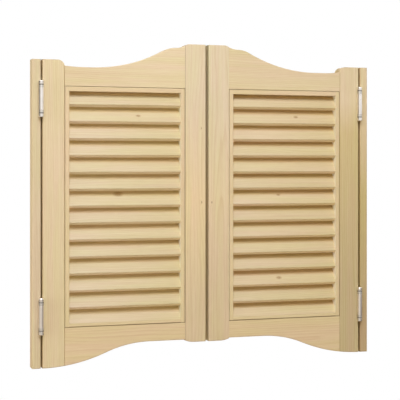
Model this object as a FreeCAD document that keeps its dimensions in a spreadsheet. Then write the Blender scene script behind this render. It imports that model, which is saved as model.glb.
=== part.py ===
import FreeCAD, Part
import os
import Sketcher

# Cafe swinging doors: two louvred pine leaves on double-action spring hinges, each hung on
# a strip that is fixed to the side of the doorway.
#
# The frame: X runs to the right seen from the front, Y to the rear and Z up. x = 0 is the
# middle of the doorway, y = 0 the middle of the leaves' thickness, z = 0 the foot of the
# strips. The wood of the right leaf is drawn and the left leaf is its mirror image. A hinge
# has no mirror image: the right-hand ones are the left-hand ones turned half round.

doc = FreeCAD.newDocument("cafe_doors")

# ---------------------------------------------------------------- driving dimensions, mm

SIZES = [
    # doorway and hanging strips
    ("opening_width", 914),
    ("strip_width", 21),
    ("hinge_gap", 4.6),
    ("centre_gap", 8.2),
    # leaf frame
    ("leaf_thickness", 35),
    ("stile_width", 56),
    ("stile_length", 770),
    ("meeting_raise", 48.5),
    ("bay_foot", 99.5),
    ("head_rail_depth", 48.1),
    ("arris", 1.5),
    ("tenon_thickness", 12),
    ("tenon_length", 30),
    ("tenon_height", 32),
    ("tenon_shoulder", 8),
    # scrolled outline of the head
    ("head_corner", 17),
    ("shoulder_width", 12),
    ("shoulder_drop", 4.4),
    ("cove_width", 26),
    ("cove_rise", 6),
    ("crown_radius", 62),
    ("hollow_drop", 17.4),
    ("hollow_flat", 25.4),
    ("heel_width", 45),
    ("heel_rise", 3),
    # scrolled outline of the foot
    ("foot_flat", 95.9),
    ("foot_step", 2),
    ("foot_radius", 290),
    ("toe_width", 24),
    ("toe_rise", 4.9),
    # louvre frame and slats
    ("louvre_side", 11.5),
    ("louvre_head", 12.7),
    ("louvre_foot", 9),
    ("quirk_width", 1.2),
    ("quirk_depth", 5),
    ("housing_depth", 5),
    ("slat_count", 14),
    ("slat_width", 44),
    ("slat_thickness", 12.5),
    ("slat_tilt", 59),
    ("slat_recess", 0.7),
    ("slat_arris", 0.7),
    ("slat_head_room", 39.2),
    ("slat_foot_sink", 8.4),
    # hinges
    ("hinge_head_inset", 99),
    ("hinge_foot_inset", 130),
    ("plate_thickness", 1.2),
    ("flange_reach", 11),
    ("flange_corner", 3),
    ("barrel_diameter", 13),
    ("barrel_wall", 1.2),
    ("barrel_standoff", 0.5),
    ("tube_length", 56),
    ("knuckle_length", 9),
    ("collar_length", 8),
    ("end_float", 0.3),
    ("pin_diameter", 4.8),
    ("pin_clearance", 0.05),
    ("pin_end", 0.4),
    # holes for the screws that fix the strips
    ("fixing_hole", 5),
    ("fixing_sink", 10),
    ("fixing_inset", 45),
    ("fixing_inner", 220),
]

sheet = doc.addObject("Spreadsheet::Sheet", "sizes")
for row, (alias, number) in enumerate(SIZES, 1):
    sheet.set(f"A{row}", alias)
    sheet.set(f"B{row}", str(number))
    sheet.setAlias(f"B{row}", alias)
doc.recompute()


def size(expression):
    """The value of an expression that is written in the sheet's names."""
    return float(sheet.evalExpression(expression))


# ---------------------------------------------------------------- places worked out from them

HALF = "(sizes.leaf_thickness / 2)"
WALL_X = "(sizes.opening_width / 2)"
STRIP_X = f"({WALL_X} - sizes.strip_width)"
LEAF_X = f"({STRIP_X} - sizes.hinge_gap)"
MEET_X = "(sizes.centre_gap / 2)"
BAY_OUT = f"({LEAF_X} - sizes.stile_width)"
BAY_IN = f"({MEET_X} + sizes.stile_width)"
BAY_WIDTH = f"({BAY_OUT} - {BAY_IN})"
MEET_TOP = "(sizes.meeting_raise + sizes.stile_length)"

# Two arcs that meet in one tangent, one level at its top and one level at its bottom, have
# radii whose sum follows from the run and the drop between those two level points. The
# meeting point lies on the straight line between them, at the first radius's share.
COVE_TOP = f"({MEET_TOP} - sizes.shoulder_drop)"
CROWN_X = f"({BAY_IN} + sizes.cove_width)"
CROWN_Z = f"({COVE_TOP} - sizes.cove_rise)"
HOLLOW_X = f"({BAY_OUT} - sizes.heel_width - sizes.hollow_flat)"
HOLLOW_Z = "(sizes.stile_length - sizes.hollow_drop)"
HEAD_RUN = f"({HOLLOW_X} - {CROWN_X})"
HEAD_DROP = f"({CROWN_Z} - {HOLLOW_Z})"
HEAD_SUM = f"(({HEAD_RUN} ^ 2 + {HEAD_DROP} ^ 2) / (2 * {HEAD_DROP}))"
HEAD_SHARE = f"(sizes.crown_radius / {HEAD_SUM})"
HOLLOW_RADIUS = f"({HEAD_SUM} - sizes.crown_radius)"
TOE_Z = "(sizes.meeting_raise + sizes.toe_rise)"
FOOT_X = f"({BAY_IN} + sizes.foot_flat)"
FOOT_Z = f"({TOE_Z} + sizes.foot_step)"
FOOT_RUN = f"({LEAF_X} - {FOOT_X})"
FOOT_SUM = f"(({FOOT_RUN} ^ 2 + {FOOT_Z} ^ 2) / (2 * {FOOT_Z}))"
FOOT_SHARE = f"(sizes.foot_radius / {FOOT_SUM})"
SWEEP_RADIUS = f"({FOOT_SUM} - sizes.foot_radius)"
# where the sweep of the foot crosses from the bottom rail to the outer stile
SWEEP_Z = f"({SWEEP_RADIUS} - sqrt({SWEEP_RADIUS} ^ 2 - sizes.stile_width ^ 2))"
BAY_HEAD = f"({HOLLOW_Z} - sizes.head_rail_depth)"

# the low front corner of the top slat's section, and the corner's way from slat to slat
SLAT_Y = "(sizes.slat_recess + sizes.slat_thickness * sin(sizes.slat_tilt) - sizes.leaf_thickness / 2)"
SLAT_X = f"({BAY_IN} + sizes.louvre_side - sizes.housing_depth)"
SLAT_LENGTH = f"({BAY_WIDTH} - 2 * sizes.louvre_side + 2 * sizes.housing_depth)"
LOUVRE_HEAD_Z = f"({BAY_HEAD} - sizes.louvre_head)"
LOUVRE_FOOT_Z = "(sizes.bay_foot + sizes.louvre_foot)"
TOP_SLAT_Z = f"({LOUVRE_HEAD_Z} - sizes.slat_head_room)"
SLAT_RUN = f"({TOP_SLAT_Z} - {LOUVRE_FOOT_Z} + sizes.slat_foot_sink)"

# A hinge stands in the gap, its front barrel to the left of the gap's middle and its rear
# barrel to the right. Each barrel's axis lies in the plane of the wood that its flange is
# screwed to, and clears that wood by the standoff.
GAP_X = f"({STRIP_X} - sizes.hinge_gap / 2)"
BARREL_Y = f"({HALF} + sizes.barrel_standoff + sizes.barrel_diameter / 2)"
TUBE_END = "(sizes.tube_length / 2)"
KNUCKLE_START = f"({TUBE_END} + sizes.end_float)"
KNUCKLE_END = f"({KNUCKLE_START} + sizes.knuckle_length)"
COLLAR_START = f"({KNUCKLE_END} + sizes.end_float)"
COLLAR_END = f"({COLLAR_START} + sizes.collar_length)"
TUBE_BORE = "(sizes.barrel_diameter - 2 * sizes.barrel_wall)"
HINGE_HEIGHTS = ["(sizes.stile_length - sizes.hinge_head_inset)", "sizes.hinge_foot_inset"]


# ---------------------------------------------------------------- ways of drawing

def arc_radius(run, rise):
    """Radius of an arc that starts level and has gone this far along and up at its end."""
    return f"(({run} ^ 2 + {rise} ^ 2) / (2 * {rise}))"


def new_body(name):
    body = doc.addObject("PartDesign::Body", name)
    body.Label = name
    return body


def sketch_on(body, name, role, offset="0"):
    """A sketch on one of the body's own origin planes, moved along the plane's normal."""
    plane = [feature for feature in body.Origin.OriginFeatures if feature.Role == role][0]
    sketch = body.newObject("Sketcher::SketchObject", name)
    sketch.AttachmentSupport = [(plane, "")]
    sketch.MapMode = "FlatFace"
    sketch.setExpression("AttachmentOffset.Base.z", offset)
    return sketch


def bind(sketch, kind, references, expression):
    """Add a dimension to the sketch and tie it to an expression."""
    index = sketch.addConstraint(Sketcher.Constraint(kind, *references, size(expression)))
    sketch.setExpression(f"Constraints[{index}]", expression)


def arc_between(start, end, radius):
    """The short arc from start to end, counterclockwise. Its centre is to the left."""
    middle = (start + end) / 2
    along = end - start
    left = FreeCAD.Vector(-along.y, along.x, 0).normalize()
    centre = middle + left * (radius ** 2 - (along.Length / 2) ** 2) ** 0.5
    circle = Part.Circle(centre, FreeCAD.Vector(0, 0, 1), radius)
    return Part.ArcOfCircle(circle, circle.parameter(start), circle.parameter(end))


def outline(sketch, stations):
    """Draw a closed outline. A station is a point, given as two expressions, and the way on
    from it: None for a straight line, or "left" or "right", the side that the arc's centre
    lies on, with the arc's radius."""
    first = sketch.GeometryCount
    points = [FreeCAD.Vector(size(across), size(up), 0) for across, up, way in stations]
    ends = []
    for index, (across, up, way) in enumerate(stations):
        start = points[index]
        end = points[(index + 1) % len(points)]
        if way is None:
            sketch.addGeometry(Part.LineSegment(start, end), False)
            ends.append((1, 2))
            continue
        side, radius = way
        if side == "left":
            sketch.addGeometry(arc_between(start, end, size(radius)), False)
            ends.append((1, 2))
        else:
            sketch.addGeometry(arc_between(end, start, size(radius)), False)
            ends.append((2, 1))
        bind(sketch, "Radius", (first + index,), radius)
    for index, (across, up, way) in enumerate(stations):
        following = (index + 1) % len(stations)
        joint = (first + index, ends[index][1], first + following, ends[following][0])
        sketch.addConstraint(Sketcher.Constraint("Coincident", *joint))
        bind(sketch, "DistanceX", (-1, 1, first + index, ends[index][0]), across)
        bind(sketch, "DistanceY", (-1, 1, first + index, ends[index][0]), up)


def rectangle(sketch, left, low, right, high):
    outline(sketch, [(left, low, None), (right, low, None), (right, high, None), (left, high, None)])


def circles(sketch, centres, diameter):
    for index, (across, up) in enumerate(centres):
        centre = FreeCAD.Vector(size(across), size(up), 0)
        circle = Part.Circle(centre, FreeCAD.Vector(0, 0, 1), size(diameter) / 2)
        sketch.addGeometry(circle, False)
        bind(sketch, "Diameter", (index,), diameter)
        bind(sketch, "DistanceX", (-1, 1, index, 3), across)
        bind(sketch, "DistanceY", (-1, 1, index, 3), up)


def pad(body, sketch, length, both_ways=False):
    feature = body.newObject("PartDesign::Pad", sketch.Name + "_pad")
    feature.Profile = sketch
    feature.SideType = "Symmetric" if both_ways else "One side"
    feature.setExpression("Length", length)
    doc.recompute()
    return feature


def pocket(body, sketch, length, towards_normal=False):
    """Cut into the body, against the sketch's normal unless it is told otherwise."""
    before = body.Shape.Volume
    feature = body.newObject("PartDesign::Pocket", sketch.Name + "_pocket")
    feature.Profile = sketch
    feature.Reversed = towards_normal
    feature.setExpression("Length", length)
    doc.recompute()
    if body.Shape.Volume >= before:
        raise RuntimeError(f"{feature.Name} cuts nothing from {body.Name}")
    return feature


def block(body, kind, name, corner, extent):
    """Add or cut a plain block between the body's own axes: kind is Additive or Subtractive."""
    feature = body.newObject(f"PartDesign::{kind}Box", name)
    for axis, place in zip("xyz", corner):
        feature.setExpression(f"Placement.Base.{axis}", place)
    for side, length in zip(("Length", "Width", "Height"), extent):
        feature.setExpression(side, length)
    doc.recompute()
    return feature


def dress(body, kind, test, amount):
    """Take the edges that pass the test off the body: kind is Chamfer or Fillet."""
    edges = [f"Edge{number}" for number, edge in enumerate(body.Shape.Edges, 1) if test(edge)]
    before = body.Tip
    feature = body.newObject(f"PartDesign::{kind}", f"{body.Name}_{kind.lower()}")
    feature.Base = (before, edges)
    feature.setExpression("Size" if kind == "Chamfer" else "Radius", amount)
    doc.recompute()
    return feature


def exposed(*joints):
    """A test for the edges of the front and rear faces, less those that lie in a joint. A
    joint is given as the axis that it stands across and its place on that axis."""
    planes = [(axis, size(place)) for axis, place in joints]

    def test(edge):
        box = edge.BoundBox
        if box.YLength > 0.001 or abs(abs(box.YMin) - size(HALF)) > 0.001:
            return False
        reach = {"X": (box.XMin, box.XMax), "Z": (box.ZMin, box.ZMax)}
        return not any(max(abs(end - place) for end in reach[axis]) < 0.001 for axis, place in planes)

    return test


def mirror(name, source):
    twin = doc.addObject("Part::Mirroring", name)
    twin.Label = name
    twin.Source = source
    twin.Normal = (1, 0, 0)
    doc.recompute()
    return twin


def group(name, master, places):
    """Copies of one master piece, each at its place and turned about Z, as one node."""
    copies = []
    for number, (x, y, z, turn) in enumerate(places, 1):
        copy = doc.addObject("App::Link", f"{name}_{number}")
        copy.LinkedObject = master
        copy.Placement.Rotation = FreeCAD.Rotation(FreeCAD.Vector(0, 0, 1), turn)
        for axis, place in zip("xyz", (x, y, z)):
            copy.setExpression(f"Placement.Base.{axis}", place)
        copies.append(copy)
    node = doc.addObject("Part::Compound", name)
    node.Label = name
    node.Links = copies
    doc.recompute()
    return node


# ---------------------------------------------------------------- stiles and rails

def mortise(body, name, start_x, low_z):
    corner = (start_x, "0 - sizes.tenon_thickness / 2", low_z)
    block(body, "Subtractive", name, corner,
          ("sizes.tenon_length", "sizes.tenon_thickness", "sizes.tenon_height"))


HEAD_TENON_Z = f"({BAY_HEAD} + sizes.tenon_shoulder)"
FOOT_TENON_Z = "(sizes.bay_foot - sizes.tenon_shoulder - sizes.tenon_height)"


def make_outer_stile():
    """The hinge stile: its head rounded into the rail, its foot on the sweep of the leaf."""
    body = new_body("right_outer_stile")
    sketch = sketch_on(body, "outer_stile_outline", "XZ_Plane")
    outline(sketch, [
        (LEAF_X, "0", None),
        (LEAF_X, "sizes.stile_length", None),
        (f"{BAY_OUT} + sizes.head_corner", "sizes.stile_length", ("left", "sizes.head_corner")),
        (BAY_OUT, "sizes.stile_length - sizes.head_corner", None),
        (BAY_OUT, SWEEP_Z, ("left", SWEEP_RADIUS)),
    ])
    pad(body, sketch, "sizes.leaf_thickness", both_ways=True)
    dress(body, "Chamfer", exposed(("X", BAY_OUT)), "sizes.arris")
    mortise(body, "outer_head_mortise", BAY_OUT, HEAD_TENON_Z)
    mortise(body, "outer_foot_mortise", BAY_OUT, FOOT_TENON_Z)
    return body


def make_meeting_stile():
    """The stile at the middle of the doorway, set higher than the outer one."""
    body = new_body("right_meeting_stile")
    sketch = sketch_on(body, "meeting_stile_outline", "XZ_Plane")
    outline(sketch, [
        (MEET_X, "sizes.meeting_raise", None),
        (f"{BAY_IN} - sizes.toe_width", "sizes.meeting_raise",
         ("left", arc_radius("sizes.toe_width", "sizes.toe_rise"))),
        (BAY_IN, TOE_Z, None),
        (BAY_IN, COVE_TOP, ("left", arc_radius("sizes.shoulder_width", "sizes.shoulder_drop"))),
        (f"{BAY_IN} - sizes.shoulder_width", MEET_TOP, None),
        (MEET_X, MEET_TOP, None),
    ])
    pad(body, sketch, "sizes.leaf_thickness", both_ways=True)
    dress(body, "Chamfer", exposed(("X", BAY_IN)), "sizes.arris")
    start_x = f"{BAY_IN} - sizes.tenon_length"
    mortise(body, "meeting_head_mortise", start_x, HEAD_TENON_Z)
    mortise(body, "meeting_foot_mortise", start_x, FOOT_TENON_Z)
    return body


def add_tenons(body, name, low_z):
    corner = (f"{BAY_IN} - sizes.tenon_length", "0 - sizes.tenon_thickness / 2", low_z)
    block(body, "Additive", name, corner,
          (f"{BAY_WIDTH} + 2 * sizes.tenon_length", "sizes.tenon_thickness", "sizes.tenon_height"))


def make_top_rail():
    """The head rail: a cove off the meeting stile, a crown, a long hollow and a low heel."""
    body = new_body("right_top_rail")
    sketch = sketch_on(body, "top_rail_outline", "XZ_Plane")
    heel_z = f"{HOLLOW_Z} + sizes.heel_rise"
    outline(sketch, [
        (BAY_IN, BAY_HEAD, None),
        (BAY_OUT, BAY_HEAD, None),
        (BAY_OUT, heel_z, ("right", arc_radius("sizes.heel_width", "sizes.heel_rise"))),
        (f"{BAY_OUT} - sizes.heel_width", HOLLOW_Z, None),
        (HOLLOW_X, HOLLOW_Z, ("right", HOLLOW_RADIUS)),
        (f"{CROWN_X} + {HEAD_RUN} * {HEAD_SHARE}", f"{CROWN_Z} - {HEAD_DROP} * {HEAD_SHARE}",
         ("left", "sizes.crown_radius")),
        (CROWN_X, CROWN_Z, ("right", arc_radius("sizes.cove_width", "sizes.cove_rise"))),
        (BAY_IN, COVE_TOP, None),
    ])
    pad(body, sketch, "sizes.leaf_thickness", both_ways=True)
    dress(body, "Chamfer", exposed(("X", BAY_IN), ("X", BAY_OUT), ("Z", BAY_HEAD)), "sizes.arris")
    add_tenons(body, "top_rail_tenons", HEAD_TENON_Z)
    return body


def make_bottom_rail():
    """The foot rail: level at the meeting stile, then a crest and a sweep down to the foot."""
    body = new_body("right_bottom_rail")
    sketch = sketch_on(body, "bottom_rail_outline", "XZ_Plane")
    outline(sketch, [
        (BAY_IN, FOOT_Z, None),
        (FOOT_X, FOOT_Z, ("right", "sizes.foot_radius")),
        (f"{FOOT_X} + {FOOT_RUN} * {FOOT_SHARE}", f"{FOOT_Z} - {FOOT_Z} * {FOOT_SHARE}",
         ("left", SWEEP_RADIUS)),
        (BAY_OUT, SWEEP_Z, None),
        (BAY_OUT, "sizes.bay_foot", None),
        (BAY_IN, "sizes.bay_foot", None),
    ])
    pad(body, sketch, "sizes.leaf_thickness", both_ways=True)
    dress(body, "Chamfer", exposed(("X", BAY_IN), ("X", BAY_OUT), ("Z", "sizes.bay_foot")), "sizes.arris")
    add_tenons(body, "bottom_rail_tenons", FOOT_TENON_Z)
    return body


# ---------------------------------------------------------------- louvre frame and slats

def slat_section(body, name, x, y, z):
    """A slat's section, with its low front corner at y and z, in the plane at x."""
    sketch = sketch_on(body, name, "YZ_Plane", x)
    sketch.setExpression("AttachmentOffset.Base.x", y)
    sketch.setExpression("AttachmentOffset.Base.y", z)
    back_y = "sizes.slat_width * cos(sizes.slat_tilt)"
    back_z = "sizes.slat_width * sin(sizes.slat_tilt)"
    face_y = "sizes.slat_thickness * sin(sizes.slat_tilt)"
    face_z = "sizes.slat_thickness * cos(sizes.slat_tilt)"
    outline(sketch, [
        ("0", "0", None),
        (back_y, back_z, None),
        (f"{back_y} - {face_y}", f"{back_z} + {face_z}", None),
        (f"0 - {face_y}", face_z, None),
    ])
    return sketch


def make_strip(name, left, low, right, high):
    """A strip of the louvre frame, as thick as the leaf. Where it lies against a stile or a
    rail it has a quirk, front and rear, which draws a neat line round the louvres."""
    body = new_body(name)
    sketch = sketch_on(body, name + "_outline", "XZ_Plane")
    rectangle(sketch, left, low, right, high)
    pad(body, sketch, "sizes.leaf_thickness", both_ways=True)
    for face, offset, inwards in (("front", HALF, False), ("rear", f"0 - {HALF}", True)):
        quirk = sketch_on(body, f"{name}_{face}_quirk", "XZ_Plane", offset)
        rectangle(quirk, BAY_IN, "sizes.bay_foot", BAY_OUT, BAY_HEAD)
        rectangle(quirk, f"{BAY_IN} + sizes.quirk_width", "sizes.bay_foot + sizes.quirk_width",
                  f"{BAY_OUT} - sizes.quirk_width", f"{BAY_HEAD} - sizes.quirk_width")
        pocket(body, quirk, "sizes.quirk_depth", inwards)
    return body


def cut_housings(body, name, face_x, towards_normal):
    """Slanted housings in the strip's inner edge, one for the end of each slat."""
    sketch = slat_section(body, name, face_x, SLAT_Y, TOP_SLAT_Z)
    first = pocket(body, sketch, "sizes.housing_depth", towards_normal)
    before = body.Shape.Volume
    row_of_housings = body.newObject("PartDesign::LinearPattern", name + "_row")
    row_of_housings.Originals = [first]
    row_of_housings.Direction = (sketch, ["V_Axis"])
    row_of_housings.Reversed = True
    row_of_housings.setExpression("Length", SLAT_RUN)
    row_of_housings.setExpression("Occurrences", "sizes.slat_count")
    body.Tip = row_of_housings
    doc.recompute()
    if body.Shape.Volume >= before:
        raise RuntimeError(f"the row of housings cuts nothing from {body.Name}")


def make_slat(index):
    """One fixed slat. The top one is planed off under the head strip and the bottom one
    is ripped off level on the foot strip."""
    number = index + 1
    body = new_body(f"right_slat_{number:02d}")
    sketch = slat_section(body, f"slat_{number:02d}_section", "0", "0", "0")
    pad(body, sketch, SLAT_LENGTH)
    dress(body, "Chamfer", lambda edge: edge.BoundBox.XLength > size(SLAT_LENGTH) - 0.001, "sizes.slat_arris")
    corner_z = f"({TOP_SLAT_Z} - {SLAT_RUN} * {index} / (sizes.slat_count - 1))"
    room = "2 * sizes.leaf_thickness"
    if index == 0:
        block(body, "Subtractive", "slat_head_trim",
              ("0", "0 - sizes.leaf_thickness", f"{LOUVRE_HEAD_Z} - {corner_z}"),
              (SLAT_LENGTH, room, "sizes.slat_width"))
    if index == size("sizes.slat_count") - 1:
        block(body, "Subtractive", "slat_foot_trim",
              ("0", "0 - sizes.leaf_thickness", f"{LOUVRE_FOOT_Z} - {corner_z} - sizes.slat_width"),
              (SLAT_LENGTH, room, "sizes.slat_width"))
    body.setExpression("Placement.Base.x", SLAT_X)
    body.setExpression("Placement.Base.y", SLAT_Y)
    body.setExpression("Placement.Base.z", corner_z)
    doc.recompute()
    return body


def make_louvre_frame():
    inner_face = f"{BAY_IN} + sizes.louvre_side"
    outer_face = f"{BAY_OUT} - sizes.louvre_side"
    inner = make_strip("right_louvre_inner_strip", BAY_IN, "sizes.bay_foot", inner_face, BAY_HEAD)
    cut_housings(inner, "inner_housing", inner_face, False)
    outer = make_strip("right_louvre_outer_strip", outer_face, "sizes.bay_foot", BAY_OUT, BAY_HEAD)
    cut_housings(outer, "outer_housing", outer_face, True)
    head = make_strip("right_louvre_head_strip", inner_face, LOUVRE_HEAD_Z, outer_face, BAY_HEAD)
    foot = make_strip("right_louvre_foot_strip", inner_face, "sizes.bay_foot", outer_face, LOUVRE_FOOT_Z)
    return [inner, outer, head, foot]


# ---------------------------------------------------------------- hanging strips

def make_hanging_strip():
    """The strip that is screwed to the side of the doorway, with the hinges on its edge."""
    body = new_body("right_hanging_strip")
    sketch = sketch_on(body, "hanging_strip_outline", "XZ_Plane")
    rectangle(sketch, STRIP_X, "0", WALL_X, "sizes.stile_length")
    pad(body, sketch, "sizes.leaf_thickness", both_ways=True)
    dress(body, "Chamfer", exposed(), "sizes.arris")
    centres = sketch_on(body, "fixing_centres", "YZ_Plane", STRIP_X)
    heights = ["sizes.fixing_inset", "(sizes.stile_length - sizes.fixing_inner) / 2",
               "(sizes.stile_length + sizes.fixing_inner) / 2", "sizes.stile_length - sizes.fixing_inset"]
    circles(centres, [("0", height) for height in heights], "sizes.fixing_hole")
    doc.recompute()
    before = body.Shape.Volume
    holes = body.newObject("PartDesign::Hole", "fixing_holes")
    holes.Profile = centres
    doc.recompute()
    holes.Reversed = True
    holes.DepthType = "ThroughAll"
    holes.HoleCutType = "Countersink"
    holes.HoleCutCountersinkAngle = 90
    holes.setExpression("Diameter", "sizes.fixing_hole")
    holes.setExpression("HoleCutDiameter", "sizes.fixing_sink")
    doc.recompute()
    if body.Shape.Volume >= before:
        raise RuntimeError("the fixing holes cut nothing from the strip")
    return body


# ---------------------------------------------------------------- hinges
# Master pieces of one hinge, drawn about the middle of the left-hand gap. The flange that is
# drawn is screwed to the strip; turned half round it is the one that is screwed to the leaf.

def make_flange():
    """A plate against the wood, with an ear and a knuckle at either end of the tube."""
    body = new_body("hinge_flange")
    plate = sketch_on(body, "flange_outline", "YZ_Plane", "0 - sizes.hinge_gap / 2")
    front = f"0 - {HALF}"
    axis_y = f"0 - {BARREL_Y}"
    outline(plate, [
        (axis_y, f"0 - {KNUCKLE_END}", None),
        ("sizes.flange_reach", f"0 - {KNUCKLE_END}", None),
        ("sizes.flange_reach", KNUCKLE_END, None),
        (axis_y, KNUCKLE_END, None),
        (axis_y, KNUCKLE_START, None),
        (front, KNUCKLE_START, None),
        (front, f"0 - {KNUCKLE_START}", None),
        (axis_y, f"0 - {KNUCKLE_START}", None),
    ])
    pad(body, plate, "sizes.plate_thickness")

    def rear_corner(edge):
        box = edge.BoundBox
        return box.ZLength < 0.001 and box.YLength < 0.001 and box.YMin > size("sizes.flange_reach") - 0.001

    dress(body, "Fillet", rear_corner, "sizes.flange_corner")
    axis = [("0 - sizes.hinge_gap / 2", axis_y)]
    for name, start in (("high", KNUCKLE_START), ("low", f"0 - {KNUCKLE_END}")):
        knuckle = sketch_on(body, f"flange_{name}_knuckle", "XY_Plane", start)
        circles(knuckle, axis, "sizes.barrel_diameter")
        pad(body, knuckle, "sizes.knuckle_length")
    bore = sketch_on(body, "flange_bore", "XY_Plane", f"0 - {KNUCKLE_END}")
    circles(bore, axis, "sizes.pin_diameter + 2 * sizes.pin_clearance")
    pocket(body, bore, f"2 * {KNUCKLE_END}", towards_normal=True)
    return body


def make_web():
    """The middle plate, rolled into the spring tubes of both barrels."""
    body = new_body("hinge_web")
    plate = sketch_on(body, "web_outline", "YZ_Plane", "0 - sizes.plate_thickness / 2")
    rectangle(plate, f"0 - {BARREL_Y}", f"0 - {TUBE_END}", BARREL_Y, TUBE_END)
    pad(body, plate, "sizes.plate_thickness")
    axes = [("0 - sizes.hinge_gap / 2", f"0 - {BARREL_Y}"), ("sizes.hinge_gap / 2", BARREL_Y)]
    tubes = sketch_on(body, "web_tubes", "XY_Plane", f"0 - {TUBE_END}")
    circles(tubes, axes, "sizes.barrel_diameter")
    pad(body, tubes, "sizes.tube_length")
    bores = sketch_on(body, "web_bores", "XY_Plane", f"0 - {TUBE_END}")
    circles(bores, axes, TUBE_BORE)
    pocket(body, bores, "sizes.tube_length", towards_normal=True)
    return body


def revolve(body, sketch, axis):
    feature = body.newObject("PartDesign::Revolution", sketch.Name + "_turned")
    feature.Profile = sketch
    feature.ReferenceAxis = (sketch, [axis])
    feature.Angle = 360
    doc.recompute()
    return feature


def make_pin():
    """The pin of one barrel. Its head is below, and its upper end stands proud of the collar."""
    body = new_body("hinge_pin")
    sketch = sketch_on(body, "pin_profile", "XZ_Plane")
    shaft = "sizes.pin_diameter / 2"
    head = "sizes.barrel_diameter / 2"
    outline(sketch, [
        ("0", f"0 - {COLLAR_END}", None),
        (head, f"0 - {COLLAR_END}", None),
        (head, f"0 - {COLLAR_START}", None),
        (shaft, f"0 - {COLLAR_START}", None),
        (shaft, f"{COLLAR_END} + sizes.pin_end", None),
        ("0", f"{COLLAR_END} + sizes.pin_end", None),
    ])
    feature = body.newObject("PartDesign::Revolution", "pin_turned")
    feature.Profile = sketch
    feature.ReferenceAxis = (sketch, ["V_Axis"])
    feature.Angle = 360
    doc.recompute()
    return body


def make_ring(name, low, high, outside):
    """A ring on the pin, from one height to the other."""
    body = new_body(name)
    sketch = sketch_on(body, name + "_outline", "XY_Plane", low)
    circles(sketch, [("0", "0")], outside)
    pad(body, sketch, f"{high} - ({low})")
    bore = sketch_on(body, name + "_bore", "XY_Plane", low)
    circles(bore, [("0", "0")], "sizes.pin_diameter")
    pocket(body, bore, f"{high} - ({low})", towards_normal=True)
    return body


# ---------------------------------------------------------------- the whole

wood = [make_hanging_strip(), make_outer_stile(), make_meeting_stile(), make_top_rail(), make_bottom_rail()]
wood += make_louvre_frame()
wood += [make_slat(index) for index in range(int(size("sizes.slat_count")))]
nodes = wood + [mirror(piece.Label.replace("right", "left"), piece) for piece in wood]

flange = make_flange()
web = make_web()
pin = make_pin()
# the close-wound torsion spring, as the sleeve that its coils fill between pin and tube
spring = make_ring("hinge_spring", f"0 - {TUBE_END}", TUBE_END, TUBE_BORE)
# the tension collar, which is turned to wind the spring
collar = make_ring("hinge_collar", COLLAR_START, COLLAR_END, "sizes.barrel_diameter")


def hinge_places(side, turn):
    """The middles of one side's hinges."""
    return [(f"{side} {GAP_X}", "0", height, turn) for height in HINGE_HEIGHTS]


def barrel_places(side):
    """The middles of the front and the rear barrels of one side's hinges."""
    front = (f"{side} {GAP_X} - sizes.hinge_gap / 2", f"0 - {BARREL_Y}", 0)
    rear = (f"{side} {GAP_X} + sizes.hinge_gap / 2", BARREL_Y, 180)
    return [(x, y, height, turn) for x, y, turn in (front, rear) for height in HINGE_HEIGHTS]


jamb_flanges = []
for name, side, turn, opposite in (("left", "0 -", 0, 180), ("right", "0 +", 180, 0)):
    jamb_flanges += hinge_places(side, turn)
    nodes.append(group(f"{name}_leaf_flanges", flange, hinge_places(side, opposite)))
    nodes.append(group(f"{name}_hinge_webs", web, hinge_places(side, turn)))
    nodes.append(group(f"{name}_hinge_pins", pin, barrel_places(side)))
    nodes.append(group(f"{name}_hinge_springs", spring, barrel_places(side)))
    nodes.append(group(f"{name}_hinge_collars", collar, barrel_places(side)))
nodes.append(group("strip_flanges", flange, jamb_flanges))

doc.recompute()
for item in doc.Objects:
    if "Invalid" in item.State or "Error" in item.State:
        raise RuntimeError(f"{item.Name} did not rebuild: {item.State}")
for node in nodes:
    if node.Shape.isNull() or not node.Shape.isValid() or not node.Shape.Solids:
        raise RuntimeError(f"{node.Label} has no valid solid")

os.makedirs("parts", exist_ok=True)
for node in nodes:
    node.Shape.exportStep(f"parts/{node.Label}.step")
print(f"{len(nodes)} nodes, {sum(len(node.Shape.Solids) for node in nodes)} solids")
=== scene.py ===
import math

import bmesh
import bpy
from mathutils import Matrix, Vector


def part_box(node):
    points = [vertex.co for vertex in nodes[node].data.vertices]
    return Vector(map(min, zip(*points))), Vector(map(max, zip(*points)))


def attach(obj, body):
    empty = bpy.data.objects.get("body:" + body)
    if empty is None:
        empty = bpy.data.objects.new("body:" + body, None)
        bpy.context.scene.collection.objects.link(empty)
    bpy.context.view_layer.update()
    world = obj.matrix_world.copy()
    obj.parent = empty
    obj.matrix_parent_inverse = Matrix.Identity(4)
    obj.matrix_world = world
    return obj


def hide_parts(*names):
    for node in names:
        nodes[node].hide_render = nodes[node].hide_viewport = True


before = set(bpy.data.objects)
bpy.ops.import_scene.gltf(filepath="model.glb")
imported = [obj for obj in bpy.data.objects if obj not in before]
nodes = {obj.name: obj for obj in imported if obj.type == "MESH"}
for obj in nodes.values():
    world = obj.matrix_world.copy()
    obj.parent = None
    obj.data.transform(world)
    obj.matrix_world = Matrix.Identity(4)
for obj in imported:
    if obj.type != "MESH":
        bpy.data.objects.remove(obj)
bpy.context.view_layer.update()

# each side of the doors, and the way along X from their middle to it
SIDES = {"left": -1, "right": 1}
WHITE = (1.0, 1.0, 1.0, 1.0)


def linear(red, green, blue):
    """An sRGB colour, given from 0 to 255, as Blender's linear one."""
    parts = [c / 255 for c in (red, green, blue)]
    return tuple(c / 12.92 if c <= 0.04045 else ((c + 0.055) / 1.055) ** 2.4 for c in parts) + (1.0,)


# ---------------------------------------------------------------- node trees

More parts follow.
